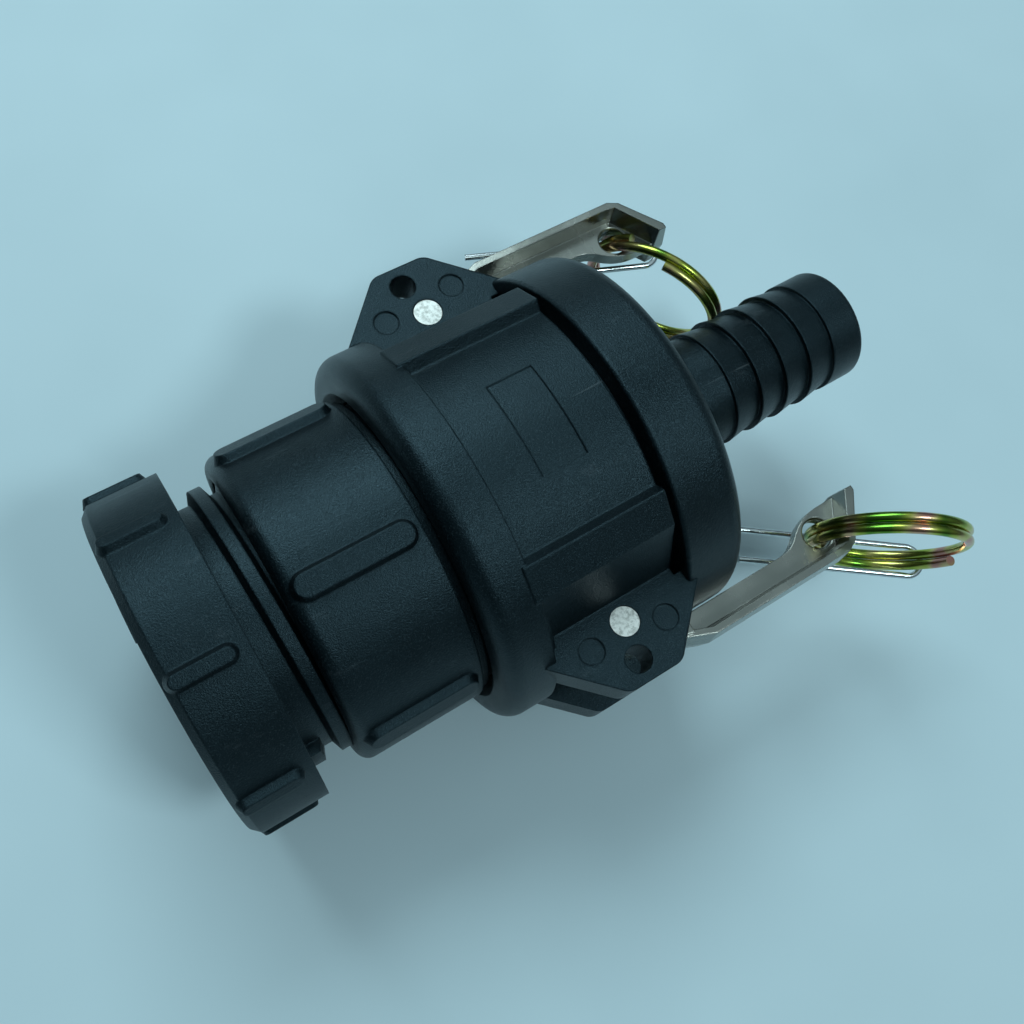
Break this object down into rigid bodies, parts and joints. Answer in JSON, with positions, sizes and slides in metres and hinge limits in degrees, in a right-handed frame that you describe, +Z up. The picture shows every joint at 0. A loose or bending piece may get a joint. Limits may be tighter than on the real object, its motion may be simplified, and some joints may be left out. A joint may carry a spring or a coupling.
{
  "type": "container outlet to hose cam-lever adapter",
  "caption": "Black plastic coupling set: ribbed threaded collar, grooved adapter, cam-lever coupler with barbed hose tail, steel levers, split rings and wire clips.",
  "frame": {"origin": "centre of the collar's mouth face, on the common axis", "axes": "+X along the common axis towards the hose tail, +Y to the left lever, +Z up along the pivot pins"},
  "size_m": [0.1663, 0.1221, 0.0826],
  "materials": {
    "black_plastic": "fine-grained matte",
    "seal_rubber": "matte",
    "cast_steel": "satin cast",
    "plated_wire": "passivated zinc, semi-gloss",
    "bright_wire": "bright drawn wire"
  },
  "bodies": {
    "coupler": {"coupler_body": "black_plastic", "coupler_gasket": "seal_rubber", "pivot_pin_left": "cast_steel", "pivot_pin_right": "cast_steel"},
    "adapter": {"cam_adapter": "black_plastic", "ibc_collar": "black_plastic", "collar_gasket": "seal_rubber", "thread_seal": "seal_rubber"},
    "lever_left": {"cam_lever_left": "cast_steel"},
    "lever_right": {"cam_lever_right": "cast_steel"},
    "ring_left": {"pull_ring_left": "plated_wire", "safety_clip_left": "bright_wire"},
    "ring_right": {"pull_ring_right": "plated_wire", "safety_clip_right": "bright_wire"}
  },
  "joints": [
    {"name": "adapter_swivel", "type": "hinge", "parent": "coupler", "child": "adapter", "pos_m": [0.07, 0, 0], "axis": [1, 0, 0], "continuous": true},
    {"name": "lever_left_hinge", "type": "hinge", "parent": "coupler", "child": "lever_left", "pos_m": [0.0779, 0.0374, 0], "axis": [0, 0, 1], "range_deg": [0, 110]},
    {"name": "lever_right_hinge", "type": "hinge", "parent": "coupler", "child": "lever_right", "pos_m": [0.0779, -0.0374, 0], "axis": [0, 0, -1], "range_deg": [0, 110]},
    {"name": "ring_left_swing", "type": "hinge", "parent": "lever_left", "child": "ring_left", "pos_m": [0.1319, 0.0415, 0], "axis": [0, 0, 1], "range_deg": [0, 15]},
    {"name": "ring_right_swing", "type": "hinge", "parent": "lever_right", "child": "ring_right", "pos_m": [0.1319, -0.0415, 0], "axis": [0, 0, 1], "range_deg": [0, 80]}
  ]
}
